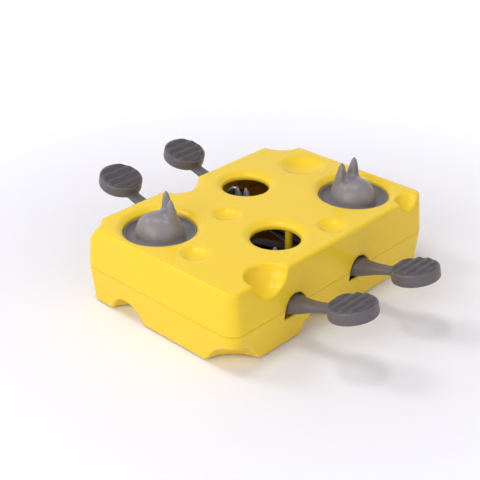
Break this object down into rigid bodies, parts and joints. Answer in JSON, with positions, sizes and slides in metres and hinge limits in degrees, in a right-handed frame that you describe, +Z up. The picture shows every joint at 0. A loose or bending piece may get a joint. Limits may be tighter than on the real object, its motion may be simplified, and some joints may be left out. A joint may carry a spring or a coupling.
{
  "type": "cat puzzle feeder",
  "caption": "Cheese-shaped treat puzzle for cats: side paddles tilt levers that raise mouse-topped treat cups and pop mice up through holes in the top.",
  "frame": {"origin": "on the table, midway between the outer ends of the near and the far paddles, with the levers at rest; the block stands 2.8 mm off it towards -Y, because the far paddles reach further", "axes": "+X along the block's long side, +Y across it towards the far paddles, +Z up"},
  "size_m": [0.25, 0.3304, 0.0984],
  "materials": {
    "shell": "warm yellow moulded plastic, satin gloss",
    "mouse": "mid grey moulded plastic, soft satin",
    "cup": "mid grey moulded plastic, soft satin",
    "lever": "dark grey moulded plastic, satin",
    "grip": "dark grey grip with wavy ribs, matte",
    "rubber": "black rubber, matte",
    "steel": "plain steel"
  },
  "bodies": {
    "housing": {"upper_shell": "shell", "lower_shell": "shell", "housing_screws": "steel", "rubber_feet": "rubber", "rest_pads": "rubber", "pivot_pin_pop_left": "steel", "pivot_pin_pop_right": "steel", "pivot_pin_cup_left": "steel", "pivot_pin_cup_right": "steel", "pin_rings": "steel"},
    "lever_pop_left": {"pop_lever_left": "lever", "grip_pop_left": "grip", "pop_mouse_left": "mouse", "pop_mouse_screw_left": "steel"},
    "lever_pop_right": {"pop_lever_right": "lever", "grip_pop_right": "grip", "pop_mouse_right": "mouse", "pop_mouse_screw_right": "steel"},
    "lever_cup_left": {"cup_lever_left": "lever", "grip_cup_left": "grip", "lift_pad_left": "rubber"},
    "lever_cup_right": {"cup_lever_right": "lever", "grip_cup_right": "grip", "lift_pad_right": "rubber"},
    "platform_left": {"lift_platform_left": "lever", "lift_skirt_left": "lever"},
    "platform_right": {"lift_platform_right": "lever", "lift_skirt_right": "lever"},
    "cup_left": {"treat_cup_left": "cup", "cup_mouse_left": "mouse", "cup_mouse_screws_left": "steel"},
    "cup_right": {"treat_cup_right": "cup", "cup_mouse_right": "mouse", "cup_mouse_screws_right": "steel"}
  },
  "joints": [
    {"name": "pop_left_press", "type": "hinge", "parent": "housing", "child": "lever_pop_left", "pos_m": [-0.03, 0.07622, 0.0335], "axis": [-1, 0, 0], "range_deg": [0, 23]},
    {"name": "pop_right_press", "type": "hinge", "parent": "housing", "child": "lever_pop_right", "pos_m": [0.03, -0.08178, 0.0335], "axis": [1, 0, 0], "range_deg": [0, 23]},
    {"name": "cup_left_press", "type": "hinge", "parent": "housing", "child": "lever_cup_left", "pos_m": [-0.052, -0.08178, 0.0335], "axis": [1, 0, 0], "range_deg": [0, 13.5]},
    {"name": "cup_right_press", "type": "hinge", "parent": "housing", "child": "lever_cup_right", "pos_m": [0.052, 0.07622, 0.0335], "axis": [-1, 0, 0], "range_deg": [0, 13.5]},
    {"name": "cup_left_lift", "type": "slide", "parent": "housing", "child": "platform_left", "axis": [0, 0, 1], "range_m": [0, 0.0278]},
    {"name": "cup_right_lift", "type": "slide", "parent": "housing", "child": "platform_right", "axis": [0, 0, 1], "range_m": [0, 0.0278]},
    {"name": "cup_left_turn", "type": "hinge", "parent": "platform_left", "child": "cup_left", "pos_m": [-0.0815, 0.03522, 0.057], "axis": [0, 0, 1], "continuous": true},
    {"name": "cup_right_turn", "type": "hinge", "parent": "platform_right", "child": "cup_right", "pos_m": [0.0815, -0.04078, 0.057], "axis": [0, 0, 1], "continuous": true}
  ],
  "couplings": [
    {"joint": "cup_left_lift", "follows": "cup_left_press", "m_per_rad": 0.1175},
    {"joint": "cup_right_lift", "follows": "cup_right_press", "m_per_rad": 0.1175}
  ]
}
